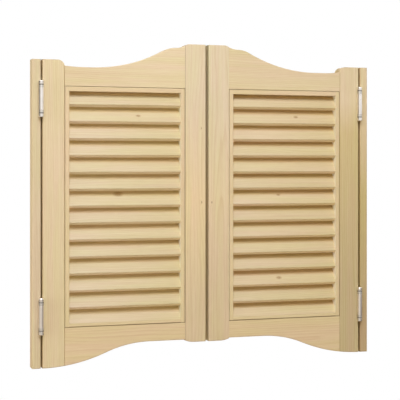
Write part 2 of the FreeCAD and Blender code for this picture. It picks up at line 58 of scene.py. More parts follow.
class Tree:
    """A short way of writing the node tree of a material or of the world."""

    def __init__(self, owner, kind="Material"):
        owner.use_nodes = True
        self.owner = owner
        self.nodes = owner.node_tree.nodes
        self.links = owner.node_tree.links
        self.nodes.clear()
        self.output = self.add("Output" + kind)

    def add(self, kind, inputs=None, **settings):
        """Add a node with its settings, and link or set its inputs."""
        node = self.nodes.new("ShaderNode" + kind)
        for key, value in settings.items():
            setattr(node, key, value)
        for key, value in (inputs or {}).items():
            socket = node.inputs[key]
            if isinstance(value, bpy.types.NodeSocket):
                self.links.new(value, socket)
            else:
                socket.default_value = value
        return node

    def result(self, kind, inputs=None, **settings):
        """Add a node, and give its first output."""
        return self.add(kind, inputs, **settings).outputs[0]

    def math(self, operation, *values):
        """The number that an operation makes of one or two."""
        return self.result("Math", dict(enumerate(values)), operation=operation)

    def vector(self, operation, *values):
        """The vector that an operation makes of one or two, or its length."""
        node = self.add("VectorMath", dict(enumerate(values)), operation=operation)
        return node.outputs["Value" if operation == "LENGTH" else "Vector"]

    def split(self, vector):
        """The three parts of a vector."""
        return tuple(self.add("SeparateXYZ", {0: vector}).outputs)

    def noise(self, coordinates, scale, detail, roughness, output=0):
        """Noise as a number, or as a colour where the output is 1."""
        inputs = {"Vector": coordinates, "Scale": scale, "Detail": detail, "Roughness": roughness}
        return self.add("TexNoise", inputs).outputs[output]

    def mix(self, factor, low, high, blend="MIX"):
        """Mix two colours. In a Mix node they are inputs 6 and 7, and the mixed one is output 2."""
        inputs = {0: factor, 6: low, 7: high}
        return self.add("Mix", inputs, data_type="RGBA", blend_type=blend, clamp_factor=True).outputs[2]

    def multiply(self, colour, factor):
        """One colour times another."""
        return self.mix(1.0, colour, factor, blend="MULTIPLY")

    def stain(self, colour, amount, factor):
        """A colour, multiplied by a factor as far as the amount says."""
        return self.mix(amount, colour, self.multiply(colour, factor))

    def ramp(self, factor, stops):
        """Greys at places from 0 to 1."""
        node = self.add("ValToRGB", {"Fac": factor})
        elements = node.color_ramp.elements
        while len(elements) < len(stops):
            elements.new(0.5)
        for element, (place, grey) in zip(elements, stops):
            element.position = place
            element.color = (grey, grey, grey, 1.0)
        return node.outputs[0]

    def range(self, value, low, high, to_low=0.0, to_high=1.0):
        """Map the span from low to high to another one, and cut off what is past its ends."""
        inputs = {"Value": value, "From Min": low, "From Max": high, "To Min": to_low, "To Max": to_high}
        return self.result("MapRange", inputs, clamp=True)

    def finish(self, surface):
        """Link the surface, and give the material or the world."""
        self.links.new(surface, self.output.inputs["Surface"])
        return self.owner


# ---------------------------------------------------------------- wood

# two shades of pale unfinished pine, which pass into each other, and the colours of its marks
PINE_PINK = linear(237, 217, 187)
PINE_YELLOW = linear(234, 219, 180)
KNOT = linear(120, 78, 40)
KNOT_RIM = linear(188, 146, 92)
FLECK = linear(184, 142, 96)
SEAM = linear(128, 82, 24)

# how far three of those marks cover the wood, and how far the tint of sawn ends does
KNOT_COVER = 0.6
FLECK_COVER = 0.3
SEAM_COVER = 0.62
END_COVER = 0.55

# what multiplies the colour in the late wood of a ring, in streaks, in fibres and on sawn ends
LATE_TINT = linear(214, 182, 142)
STREAK_TINT = linear(226, 205, 178)
FIBRE_TINT = linear(220, 200, 172)
END_TINT = linear(216, 190, 154)

# each noise: its scales across, through and along a board, in waves a metre, its detail and its
# roughness
SWAY_NOISE = ((6.0, 6.0, 0.9), 2.0, 0.5)
RIPPLE_NOISE = ((60.0, 60.0, 5.0), 2.0, 0.5)
RING_NOISE = ((30.0, 30.0, 2.0), 2.0, 0.5)
SHADE_NOISE = ((45.0, 45.0, 4.0), 2.0, 0.5)
STREAK_NOISE = ((260.0, 260.0, 5.0), 3.0, 0.6)
FIBRE_NOISE = ((1300.0, 1300.0, 34.0), 3.0, 0.65)
FLECK_NOISE = ((2600.0, 2600.0, 140.0), 1.0, 0.5)
KNOT_NOISE = ((420.0, 420.0, 420.0), 2.0, 0.5)

# the part of a noise that is used, and what its two ends become where that isn't 0 and 1
RING_RANGE = (0.25, 0.75, 0.35, 1.0)
SHADE_RANGE = (0.36, 0.64)
STREAK_RANGE = (0.35, 0.75, 0.0, 0.26)
FIBRE_RANGE = (0.4, 0.8, 0.0, 0.28)
FLECK_RANGE = (0.71, 0.79)
KNOT_RANGE = (0.3, 0.7)

# the widths over which the rings sway and ripple, in metres, and how dark one ring is from its
# inside outwards
SWAY_WIDTH = 0.09
RIPPLE_WIDTH = 0.005
LATE_WOOD = ((0.0, 0.25), (0.12, 0.0), (0.55, 0.12), (0.86, 0.8), (0.94, 1.0), (1.0, 0.35))

# distances from a knot's middle, in its radii, between which its colour comes in, and between
# which the rings' push of 5 mm aside dies away
KNOT_EDGE = (1.4, 0.5)
KNOT_PUSH = (0.6, 4.5, 0.005, 0.0)

# how far a face is turned towards an axis where it begins to count as facing it, and fully does
END_TURN = (0.6, 0.9)
SIDE_TURN = (0.55, 0.8)
# how far past the doors' middle plane a slat's face lies, seen from where it faces, where its
# neighbour begins to hide it and fully does, in metres
HIDDEN = (-0.0035, -0.0005)
# the soft edge of a seam, in metres
SEAM_SOFT = 0.0007

# the heights of the fibres and the late wood and the depth of the flecks, as parts of the relief,
# which is in metres like the radius of the boards' eased edges
FIBRE_HIGH = 0.55
LATE_HIGH = 0.5
FLECK_DEEP = 0.6
RELIEF = 0.0004
RELIEF_STRENGTH = 0.35
EASED_EDGE = 0.0011

# a board's place in the noise and the place of its pith, which lies outside it, follow from its
# seed: the start, the step from one seed to the next, and the width in which the steps go round
SHIFT = ((0.0, 0.731, 1.0), (0.0, 0.417, 1.0), (0.0, 1.93, 5.0))
PITH = ((-0.06, 0.37, 0.12), (0.05, 0.13, 0.05))

# the least roughness, what the fibres add to it, and the shine
PINE_ROUGH = 0.52
FIBRE_ROUGH = 0.18
PINE_SPECULAR = 0.28
PINE_IOR = 1.46


def scattered(seed, start, step, width):
    """A number that goes round within a width, step by step from seed to seed."""
    return start + seed * step % width


def even(*tone):
    """A tone that is the same all along a board."""
    return ((0.0, tone),)


# tones are factors on the pine's colour, at places along the grain in metres. They are partly each board's
# own tone, and partly painted light and shade, where a board gets lighter or darker along its length, as
# towards the feet of the stiles and strips, along the top rails and across the slats
STILE = even(1.0, 1.0, 1.0)
RAIL = even(1.03, 1.05, 1.05)
LOUVRE = even(1.0, 1.01, 1.01)
BOARD_TONES_AND_SHADE = {
    "left_hanging_strip": even(0.92, 0.955, 1.01),
    "left_outer_stile": even(1.0, 1.03, 1.08),
    "left_meeting_stile": (
        (0.66, (1.0, 1.05, 1.17)), (0.42, (1.085, 1.085, 1.08)), (0.14, (0.945, 0.96, 1.0))),
    "right_meeting_stile": (
        (0.66, (0.99, 1.05, 1.16)), (0.42, (1.02, 1.04, 1.08)), (0.24, (0.94, 0.955, 0.99))),
    "right_outer_stile": (
        (0.68, (1.01, 1.06, 1.12)), (0.59, (0.89, 0.91, 0.77)), (0.16, (0.79, 0.80, 0.76))),
    "right_hanging_strip": (
        (0.66, (1.01, 1.04, 1.08)), (0.42, (0.80, 0.82, 0.63)), (0.10, (0.72, 0.69, 0.63))),
    "left_top_rail": ((-0.34, (0.975, 1.005, 1.02)), (-0.10, (1.04, 1.08, 1.15))),
    "right_top_rail": ((0.10, (0.985, 1.015, 1.05)), (0.34, (1.01, 1.04, 1.09))),
}
SLAT_TONES_AND_SHADE = {
    "left": ((-0.36, (0.90, 0.945, 1.03)), (-0.08, (0.86, 0.895, 0.87))),
    "right": ((0.08, (0.905, 0.935, 0.98)), (0.36, (0.865, 0.885, 0.83))),
}

# further factors, all painted light and shade: on boards' narrow sides, lighter or darker by the way they
# face, on the slats' undersides, lighter, and on their hidden faces, warmer and darker
EDGE_LIGHT_AND_SHADE = {
    "hanging_strip": (1.06, 1.08, 1.12),
    "right_hanging_strip": (0.84, 0.78, 0.66),
    "outer_stile": (0.84, 0.78, 0.66),
    "meeting_stile": (0.91, 0.94, 0.94),
    "louvre_inner_strip": (1.12, 1.27, 1.55),
    "louvre_outer_strip": (1.12, 1.27, 1.55),
}
SLAT_UNDERSIDE_LIGHT = (1.24, 1.24, 1.36)
SLAT_DEPTH_SHADE = {"left": (1.05, 0.97, 0.83), "right": (0.95, 0.84, 0.69)}

# each kind of board: its grain, its tone, how dark its rings are, and their spacing in metres
BOARDS = (
    ("hanging_strip", "z", STILE, 0.24, 0.005),
    ("outer_stile", "z", STILE, 0.26, 0.0052),
    ("meeting_stile", "z", STILE, 0.26, 0.005),
    ("top_rail", "x", RAIL, 0.26, 0.0055),
    ("bottom_rail", "x", STILE, 0.28, 0.0055),
    ("louvre_inner_strip", "z", LOUVRE, 0.2, 0.004),
    ("louvre_outer_strip", "z", LOUVRE, 0.2, 0.004),
    ("louvre_head_strip", "x", LOUVRE, 0.2, 0.004),
    ("louvre_foot_strip", "x", LOUVRE, 0.2, 0.004),
)
# the same for the slats, with the turn of their pattern, how far they differ in shade, and how far
# that goes on, as an angle, from one to the next
SLAT_COUNT = 14
SLAT_LINES = 0.22
SLAT_SPACING = 0.0046
SLAT_TILT = math.radians(-31)
SLAT_SPREAD = 0.018
SLAT_STEP = 2.7

# knots: the place along X and Z, and the radius, in metres
KNOTS = {
    "left_slat_02": [(-0.1827, 0.632, 0.0030)],
    "left_slat_07": [(-0.2341, 0.432, 0.0058)],
    "left_slat_08": [(-0.1816, 0.405, 0.0022)],
    "right_slat_02": [(0.2524, 0.634, 0.0030)],
    "right_slat_07": [(0.2037, 0.427, 0.0026)],
    "right_slat_12": [(0.2037, 0.207, 0.0036)],
    "left_meeting_stile": [(-0.0153, 0.4097, 0.0016), (-0.0158, 0.6015, 0.0012)],
    "right_meeting_stile": [(0.0126, 0.4094, 0.0016)],
}

# a glue line in one stile, and dark lines along quirks: the axis that the line crosses, its place on that
# axis, and half its width
QUIRK_FOOT = ("z", 0.1001, 0.0008)
SEAMS = {
    "left_meeting_stile": [("x", -0.0598, 0.0002)],
    "left_louvre_foot_strip": [QUIRK_FOOT],
    "left_bottom_rail": [QUIRK_FOOT],
    "right_louvre_foot_strip": [QUIRK_FOOT],
    "right_bottom_rail": [QUIRK_FOOT],
    "right_louvre_outer_strip": [("x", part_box("right_louvre_outer_strip")[1][0] - 0.0006, 0.0010)],
}


class Pine(Tree):
    """The pine of one board, with its grain along X or Z. tilt turns its pattern with a slat."""

    def __init__(self, piece, grain, seed, tilt):
        super().__init__(bpy.data.materials.new(piece + "_pine"))
        coordinates = self.add("TexCoord").outputs
        self.place = coordinates["Object"]
        self.x, self.y, self.z = self.split(self.place)
        self.facing_x, self.facing_y, self.facing_z = self.split(coordinates["Normal"])
        self.grain = grain
        turned = self.place
        if tilt:
            turned = self.result("VectorRotate", {"Vector": turned, "Angle": tilt}, rotation_type="X_AXIS")
        x, y, z = self.split(turned)
        across, self.along = (x, z) if grain == "z" else (z, x)
        self.board = self.result("CombineXYZ", {0: across, 1: y, 2: self.along})
        shift = tuple(scattered(seed, *axis) for axis in SHIFT)
        self.moved = self.vector("ADD", self.board, shift)
        self.pith = tuple(scattered(seed, *axis) for axis in PITH) + (0.0,)

    def grained(self, scales, detail, roughness, output=0):
        """Noise that is stretched along the grain."""
        return self.noise(self.vector("MULTIPLY", self.moved, scales), 1.0, detail, roughness, output)

    def wander(self, noise, width):
        """A random shift across the grain, over a width."""
        centred = self.vector("SUBTRACT", self.grained(*noise, output=1), (0.5, 0.5, 0.5))
        return self.vector("MULTIPLY", centred, (width, width, 0.0))

    def pith_distance(self):
        """The distance from the pith, as the rings that sway and ripple show it."""
        swayed = self.vector("ADD", self.board, self.wander(SWAY_NOISE, SWAY_WIDTH))
        rippled = self.vector("ADD", self.wander(RIPPLE_NOISE, RIPPLE_WIDTH), self.pith)
        radial = self.vector("MULTIPLY", self.vector("ADD", swayed, rippled), (1.0, 1.0, 0.0))
        return self.vector("LENGTH", radial)

    def knot_distance(self, x, z, size):
        """The distance from a knot's middle, in its radii. A knot is twice as long as it is wide."""
        stretch = (1.0, 0.0, 0.5) if self.grain == "z" else (0.5, 0.0, 1.0)
        off = self.vector("SUBTRACT", self.place, (x, 0.0, z))
        return self.vector("LENGTH", self.vector("MULTIPLY", off, tuple(part / size for part in stretch)))

    def late_wood(self, distance, spacing):
        """The dark parts of the rings, stronger and weaker from place to place."""
        phase = self.math("FRACT", self.math("DIVIDE", distance, spacing))
        strength = self.range(self.grained(*RING_NOISE), *RING_RANGE)
        return self.math("MULTIPLY", self.ramp(phase, LATE_WOOD), strength)

    def toned_and_shaded(self, colour, stops, outward):
        """The colour times the tones along the grain, which hold painted light and shade. The wall side,
        towards outward, is plain.
        """
        shade = stops[0][1] + (1.0,)
        for (start, _), (stop, following) in zip(stops, stops[1:]):
            shade = self.mix(self.range(self.along, start, stop), shade, following + (1.0,))
        if outward:
            to_wall = self.range(self.math("MULTIPLY", self.facing_x, outward), *SIDE_TURN)
            shade = self.mix(to_wall, shade, WHITE)
        return self.multiply(colour, shade)

    def narrow_side(self, outward):
        """Whether a face is a hanging strip's inner side, another board's edge, or a slat's underside."""
        if outward:
            turn = self.math("MULTIPLY", self.facing_x, -outward)
        elif self.grain == "z":
            turn = self.math("ABSOLUTE", self.facing_x)
        else:
            turn = self.math("MULTIPLY", self.facing_z, -1.0)
        return self.range(turn, *SIDE_TURN)

    def hidden_side(self):
        """Whether a slat's face is in the half that it turns away from, where the next one hides it."""
        depth = self.math("MULTIPLY", self.math("MULTIPLY", self.facing_y, self.y), -1.0)
        return self.range(depth, *HIDDEN)

    def sawn_end(self):
        """Whether a face lies across the grain."""
        facing = self.facing_z if self.grain == "z" else self.facing_x
        return self.range(self.math("ABSOLUTE", facing), *END_TURN)

    def seam(self, axis, middle, half):
        """A dark line with soft edges at a place on an axis."""
        off = self.math("SUBTRACT", self.x if axis == "x" else self.z, middle)
        return self.range(self.math("ABSOLUTE", off), half + SEAM_SOFT, half)


def pine(piece, grain, seed, stops, lines, spacing, tilt=0.0, edge_light_and_shade=None, depth_shade=None, outward=0):
    """The material of one board. stops are its tones along the grain, with painted light and shade in
    them, lines says how dark its rings are, and spacing how far apart. edge_light_and_shade is a factor
    that paints light and shade on its narrow sides, and depth_shade one that paints shade on a slat's
    hidden faces. outward is the way along X that a strip's wall side faces, or else 0."""
    tree = Pine(piece, grain, seed, tilt)
    distance = tree.pith_distance()
    knot_mask = None
    for x, z, size in KNOTS.get(piece, ()):
        away = tree.knot_distance(x, z, size)
        distance = tree.math("ADD", distance, tree.range(away, *KNOT_PUSH))
        mask = tree.range(away, *KNOT_EDGE)
        knot_mask = mask if knot_mask is None else tree.math("MAXIMUM", knot_mask, mask)
    late = tree.late_wood(distance, spacing)
    fibre = tree.grained(*FIBRE_NOISE)
    streak = tree.grained(*STREAK_NOISE)
    fleck = tree.range(tree.grained(*FLECK_NOISE), *FLECK_RANGE)

    shades = tree.range(tree.grained(*SHADE_NOISE), *SHADE_RANGE)
    # the pine's two shades, times its tones, with the painted light and shade in them
    colour = tree.toned_and_shaded(tree.mix(shades, PINE_PINK, PINE_YELLOW), stops, outward)
    colour = tree.stain(colour, tree.math("MULTIPLY", late, lines), LATE_TINT)
    colour = tree.stain(colour, tree.range(streak, *STREAK_RANGE), STREAK_TINT)
    colour = tree.stain(colour, tree.range(fibre, *FIBRE_RANGE), FIBRE_TINT)
    colour = tree.mix(tree.math("MULTIPLY", fleck, FLECK_COVER), colour, FLECK)
    if knot_mask is not None:
        knot = tree.mix(tree.range(tree.grained(*KNOT_NOISE), *KNOT_RANGE), KNOT, KNOT_RIM)
        colour = tree.mix(tree.math("MULTIPLY", knot_mask, KNOT_COVER), colour, knot)
    for axis, middle, half in SEAMS.get(piece, ()):
        line = tree.seam(axis, middle, half)
        colour = tree.mix(tree.math("MULTIPLY", line, SEAM_COVER), colour, SEAM)
    # painted light and shade: narrow sides made lighter or darker by the way they face
    if edge_light_and_shade:
        colour = tree.stain(colour, tree.narrow_side(outward), edge_light_and_shade + (1.0,))
    # painted shade: the part of a slat's face that its neighbour overhangs made warmer and darker
    if depth_shade:
        colour = tree.stain(colour, tree.hidden_side(), depth_shade + (1.0,))
    colour = tree.stain(colour, tree.math("MULTIPLY", tree.sawn_end(), END_COVER), END_TINT)

    relief = tree.math("MULTIPLY", fibre, FIBRE_HIGH)
    relief = tree.math("ADD", relief, tree.math("MULTIPLY", late, LATE_HIGH))
    relief = tree.math("SUBTRACT", relief, tree.math("MULTIPLY", fleck, FLECK_DEEP))
    rounded = tree.result("Bevel", {"Radius": EASED_EDGE}, samples=4)
    bump = tree.result("Bump", {
        "Strength": RELIEF_STRENGTH, "Distance": RELIEF, "Height": relief, "Normal": rounded})
    rough = tree.math("ADD", PINE_ROUGH, tree.math("MULTIPLY", fibre, FIBRE_ROUGH))
    return tree.finish(tree.result("BsdfPrincipled", {
        "Base Color": colour, "Roughness": rough, "Normal": bump,
        "Specular IOR Level": PINE_SPECULAR, "IOR": PINE_IOR}))


def cover(node, material):
    """Give a CAD node a material in place of its own."""
    mesh = nodes[node].data
    mesh.materials.clear()
    mesh.materials.append(material)


def dress_boards():
    """Give every board and slat a pine of its own."""
    seed = 1
    for side, way in SIDES.items():
        for kind, grain, tone, lines, spacing in BOARDS:
            piece = f"{side}_{kind}"
            seed += 1
            cover(piece, pine(piece, grain, seed, BOARD_TONES_AND_SHADE.get(piece, tone), lines, spacing,
                              edge_light_and_shade=EDGE_LIGHT_AND_SHADE.get(piece, EDGE_LIGHT_AND_SHADE.get(kind)),
                              outward=way if kind == "hanging_strip" else 0))
        for number in range(1, SLAT_COUNT + 1):
            piece = f"{side}_slat_{number:02d}"
            seed += 1
            # slats next to each other are a little lighter and darker
            shade = 1.0 + SLAT_SPREAD * math.sin(seed * SLAT_STEP)
            stops = tuple((place, tuple(part * shade for part in tone))
                          for place, tone in SLAT_TONES_AND_SHADE[side])
            cover(piece, pine(piece, "x", seed, stops, SLAT_LINES, SLAT_SPACING, tilt=SLAT_TILT,
                              edge_light_and_shade=SLAT_UNDERSIDE_LIGHT, depth_shade=SLAT_DEPTH_SHADE[side]))


# ---------------------------------------------------------------- metal

# each noise: its scale, detail and roughness
BRUSH_NOISE = (1.0, 3.0, 0.6)
SMUDGE_NOISE = (55.0, 3.0, 0.5)
DARK_NOISE = (900.0, 2.0, 0.5)

# the parts of the smudges that tint the metal and that dull it, and how far
SMUDGE_TINT = linear(216, 214, 208)
SMUDGE_RANGE = (0.45, 0.8, 0.0, 0.4)
SMUDGE_SPAN = (0.3, 0.8)
SMUDGE_ROUGH = 0.1
# how far the brushing dulls it, and its relief, in metres
BRUSH_ROUGH = 0.16
BRUSH_STRENGTH = 0.12
BRUSH_DEPTH = 0.0001
# the dark of the winding holes, whose mouths are flat patches of painted shade, and of the blackened
# retaining rings, which also paint the shade of the grooves that they sit in
DARK_LOW = linear(44, 38, 32)
DARK_HIGH = linear(70, 62, 53)
DARK_ROUGH = 0.7


def metal(name, colour, rough, brushed=(900.0, 900.0, 30.0)):
    """Satin plated steel with faint handling marks. brushed is the scales of its fine marks along
    X, Y and Z, in waves a metre."""
    tree = Tree(bpy.data.materials.new(name))
    place = tree.add("TexCoord").outputs["Object"]
    brush = tree.noise(tree.vector("MULTIPLY", place, brushed), *BRUSH_NOISE)
    smudge = tree.noise(place, *SMUDGE_NOISE)
    tint = tree.stain(colour, tree.range(smudge, *SMUDGE_RANGE), SMUDGE_TINT)
    smudged = tree.range(smudge, *SMUDGE_SPAN, rough, rough + SMUDGE_ROUGH)
    roughness = tree.math("ADD", tree.math("MULTIPLY", brush, BRUSH_ROUGH), smudged)
    bump = tree.result("Bump", {"Strength": BRUSH_STRENGTH, "Distance": BRUSH_DEPTH, "Height": brush})
    return tree.finish(tree.result("BsdfPrincipled", {
        "Base Color": tint, "Metallic": 1.0, "Roughness": roughness, "Normal": bump}))


def shadowed_metal():
    """The material of the winding holes and the retaining rings, a little cloudy. On the holes it is
    painted shade, and on the rings partly the grooves' painted shade.
    """
    tree = Tree(bpy.data.materials.new("painted_hole_shade"))
    cloud = tree.noise(tree.add("TexCoord").outputs["Object"], *DARK_NOISE)
    colour = tree.mix(cloud, DARK_LOW, DARK_HIGH)
    return tree.finish(tree.result("BsdfPrincipled", {"Base Color": colour, "Roughness": DARK_ROUGH}))


NICKEL = metal("satin_nickel", linear(253, 247, 241), 0.2)
PLATE = metal("nickel_plate", linear(228, 224, 217), 0.3, (60.0, 900.0, 900.0))
PIN = metal("pin_steel", linear(250, 245, 239), 0.2)
SPRING = metal("spring_steel", linear(120, 118, 116), 0.35, (30.0, 30.0, 1400.0))
DARK = shadowed_metal()


# ---------------------------------------------------------------- hinges

# Sizes in metres, as in the solids that these pieces replace. STRIP_X and LEAF_X are the edges of
# the strips and the leaves, each with a flange on it and a barrel's axis over it. Levels in a hinge
# are measured from its middle, and HINGE_LEVELS from the doors' foot.
STRIP_X = 0.436
LEAF_X = 0.4314
GAP_MIDDLE = (STRIP_X + LEAF_X) / 2
BARREL_Y = 0.0245
FACE_Y = 0.0175
HINGE_LEVELS = (0.671, 0.130)
PLATE_THICK = 0.0012
FLANGE_REACH = 0.011
FLANGE_CORNER = 0.003
CORNER_STEPS = 4

# radii
BARREL = 0.0065
BORE = 0.0053
RING = 0.0059
NECK = 0.0040
PIN_RADIUS = 0.0024

# levels of the tubes' ends, and the lower and upper ones of the knuckles, grooves and collars
TUBE_END = 0.028
KNUCKLE = (0.0283, 0.0373)
GROOVE = (0.0345, 0.0359)
COLLAR = (0.0376, 0.0456)
NECK_HIGH = 0.0003
SHOULDER = COLLAR[0] + NECK_HIGH

# where the plates run into the barrels and the ears into the wood's face
PLATE_EDGE = BARREL_Y - BARREL * 0.8
EAR_END = FACE_Y * 0.999

# eased edges, and the play that keeps pieces apart
EASE = 0.0002
TUBE_EASE = 0.00025
CAP_EASE = 0.0003
CAP_BEND = 0.0005
CAP_ROUND = 0.0014
PLAY = 0.00005

# what the collars and the pins' heads share: a neck, a shoulder, the side and a rounded end
CAP = (
    (NECK, COLLAR[0]),
    (NECK, SHOULDER),
    (BARREL - CAP_EASE, SHOULDER),
    (BARREL, SHOULDER + CAP_EASE),
    (BARREL, COLLAR[1] - CAP_ROUND),
    (BARREL - CAP_BEND, COLLAR[1] - CAP_BEND),
    (BARREL - CAP_ROUND, COLLAR[1]),
)
# a pin's domed end, as parts of its radius and heights over the collar
DOME = ((1.0, 0.0), (0.86, 0.0003), (0.5, 0.00038), (0.0, 0.0004))

# a screw's head, as radii and heights over the plate, the depth of its recess, and the screws'
# levels in a flange
SCREW_HEAD = ((0.0031, 0.0), (0.0029, 0.00012), (0.0011, 0.00018))
SCREW_RECESS = 0.0006
SCREW_STEPS = 24
SCREW_LEVELS = (-0.026, 0.0, 0.026)

# the winding holes, painted as flat patches of shade: their radius, and where the first of four stands
# round a collar, in degrees
HOLE_RADIUS = 0.0012
HOLE_LIFT = 0.00003
HOLE_STEPS = 16
HOLE_TURN = 35

LATHE_STEPS = 40
# corners sharper than this stay sharp where the rest of a surface is shown smooth
SHARP = math.radians(28)


def new_piece(name, mesh, material, body, slot, *replaced):
    """Turn a bmesh into a piece that rides on a body and stands for CAD nodes."""
    data = bpy.data.meshes.new(name)
    bmesh.ops.recalc_face_normals(mesh, faces=mesh.faces)
    for face in mesh.faces:
        face.smooth = True
    mesh.to_mesh(data)
    mesh.free()
    data.set_sharp_from_angle(angle=SHARP)
    piece = bpy.data.objects.new(name, data)
    bpy.context.scene.collection.objects.link(piece)
    data.materials.append(material)
    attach(piece, body)
    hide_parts(*replaced)
    return piece


def lathe(mesh, profile, place):
    """Turn a closed profile of (radius, level) points round the vertical axis at a place. A radius
    of zero is a point on the axis."""
    rings = []
    for radius, level in profile:
        if radius == 0:
            rings.append([mesh.verts.new((place[0], place[1], place[2] + level))])
            continue
        ring = []
        for step in range(LATHE_STEPS):
            angle = 2 * math.pi * step / LATHE_STEPS
            ring.append(mesh.verts.new((place[0] + radius * math.cos(angle),
                                        place[1] + radius * math.sin(angle), place[2] + level)))
        rings.append(ring)
    for low, high in zip(rings, rings[1:] + rings[:1]):
        if len(low) == 1 and len(high) == 1:
            continue
        for step in range(LATHE_STEPS):
            after = (step + 1) % LATHE_STEPS
            if len(low) == 1:
                corners = (low[0], high[after], high[step])
            elif len(high) == 1:
                corners = (low[step], low[after], high[0])
            else:
                corners = (low[step], low[after], high[after], high[step])
            mesh.faces.new(corners)


def mirrored(profile):
    """A profile turned upside down."""
    return [(radius, -level) for radius, level in profile]


def sleeve(low, high, outside, inside, ease):
    """Profile of a tube with its four edges eased."""
    return [(inside, low + ease), (inside + ease, low), (outside - ease, low), (outside, low + ease),
            (outside, high - ease), (outside - ease, high), (inside + ease, high), (inside, high - ease)]


def prism(mesh, outline, x_low, x_high):
    """A plate across X, from an outline of (y, z) points, with eased edges."""
    layers = []
    centre_y = sum(y for y, z in outline) / len(outline)
    centre_z = sum(z for y, z in outline) / len(outline)
    for x, inset in ((x_low, EASE), (x_low + EASE, 0.0), (x_high - EASE, 0.0), (x_high, EASE)):
        layer = []
        for y, z in outline:
            pull_y = math.copysign(inset, centre_y - y)
            pull_z = math.copysign(inset, centre_z - z)
            layer.append(mesh.verts.new((x, y + pull_y, z + pull_z)))
        layers.append(layer)
    count = len(outline)
    for low, high in zip(layers, layers[1:]):
        for step in range(count):
            after = (step + 1) % count
            mesh.faces.new((low[step], low[after], high[after], high[step]))
    mesh.faces.new(layers[0])
    mesh.faces.new(list(reversed(layers[-1])))


def flange_outline(sign, height):
    """The plate of a flange, without its ears: a rectangle with two rounded corners."""
    points = [(sign * FACE_Y, height - KNUCKLE[1]), (sign * FACE_Y, height + KNUCKLE[1])]
    corner_z = KNUCKLE[1] - FLANGE_CORNER
    for centre_z, start in ((corner_z, 90), (-corner_z, 0)):
        for step in range(CORNER_STEPS + 1):
            angle = math.radians(start - 90 / CORNER_STEPS * step)
            points.append((-sign * (FLANGE_REACH - FLANGE_CORNER + FLANGE_CORNER * math.cos(angle)),
                           height + centre_z + FLANGE_CORNER * math.sin(angle)))
    return points


def add_flange(mesh, x, sign, height):
    """One flange: the plate on the wood at x, and its ears and knuckles round the barrel's axis.
    sign is -1 where the barrel is in front, and 1 where it is behind; the plate's free side faces
    the other way along X."""
    x_low, x_high = sorted((x, x - sign * PLATE_THICK))
    prism(mesh, flange_outline(sign, height), x_low, x_high)
    near, far = sign * PLATE_EDGE, sign * EAR_END
    bore = PIN_RADIUS + PLAY
    knuckle = [(bore, KNUCKLE[0]), (BARREL - EASE, KNUCKLE[0]), (BARREL, KNUCKLE[0] + EASE),
               (BARREL, GROOVE[0] - EASE), (BARREL - EASE, GROOVE[0]), (NECK, GROOVE[0]),
               (NECK, GROOVE[1]), (BARREL - EASE, GROOVE[1]), (BARREL, GROOVE[1] + EASE),
               (BARREL, KNUCKLE[1] - EASE), (BARREL - EASE, KNUCKLE[1]), (bore, KNUCKLE[1])]
    for up, profile in ((1, knuckle), (-1, mirrored(knuckle))):
        low, high = sorted((height + up * KNUCKLE[0], height + up * KNUCKLE[1]))
        prism(mesh, [(near, low), (near, high), (far, high), (far, low)], x_low, x_high)
        lathe(mesh, profile, (x, sign * BARREL_Y, height))


def add_screw(mesh, x, facing, z):
    """A countersunk head, almost flush with its plate, with the driver's recess as a small cone."""
    top = x + facing * (PLATE_THICK + PLAY)
    turns = [2 * math.pi * step / SCREW_STEPS for step in range(SCREW_STEPS)]
    rings = [[mesh.verts.new((top + facing * lift, radius * math.cos(turn), z + radius * math.sin(turn)))
              for turn in turns] for radius, lift in SCREW_HEAD]
    for outer, inner in zip(rings, rings[1:]):
        for step in range(SCREW_STEPS):
            after = (step + 1) % SCREW_STEPS
            mesh.faces.new((outer[step], outer[after], inner[after], inner[step]))
    bottom = mesh.verts.new((top - facing * SCREW_RECESS, 0.0, z))
    for step in range(SCREW_STEPS):
        mesh.faces.new((rings[-1][step], rings[-1][(step + 1) % SCREW_STEPS], bottom))


def add_web(mesh, x, height, front_x, rear_x):
    """The middle plate and the two rolled tubes."""
    low, high = height - TUBE_END, height + TUBE_END
    plate = [(-PLATE_EDGE, low), (-PLATE_EDGE, high), (PLATE_EDGE, high), (PLATE_EDGE, low)]
    prism(mesh, plate, x - PLATE_THICK / 2, x + PLATE_THICK / 2)
    for axis_x, axis_y in ((front_x, -BARREL_Y), (rear_x, BARREL_Y)):
        lathe(mesh, sleeve(-TUBE_END, TUBE_END, BARREL, BORE, TUBE_EASE), (axis_x, axis_y, height))


def add_collar(mesh, place):
    """The tension collar, which stands on a narrow neck and is rounded at its top."""
    low, high = COLLAR
    inside = [(PIN_RADIUS + CAP_EASE, high), (PIN_RADIUS, high - CAP_EASE)]
    lathe(mesh, [(PIN_RADIUS, low + EASE), (PIN_RADIUS + EASE, low), *CAP, *inside], place)


def add_rings(mesh, place):
    """The dark retaining rings that sit in the knuckles' grooves, and whose dark also paints the grooves'
    shade.
    """
    ring = sleeve(GROOVE[0] + PLAY, GROOVE[1] - PLAY, RING, NECK + 2 * PLAY, EASE)
    lathe(mesh, ring, place)
    lathe(mesh, mirrored(ring), place)


def add_pin(mesh, place):
    """The pin: a turned head below, the shaft, and a domed end proud of the collar."""
    low, high = COLLAR
    head = [(0, -high), *mirrored(reversed(CAP)), (PIN_RADIUS, -low)]
    dome = [(PIN_RADIUS * part, high + lift) for part, lift in DOME]
    lathe(mesh, head + dome, place)


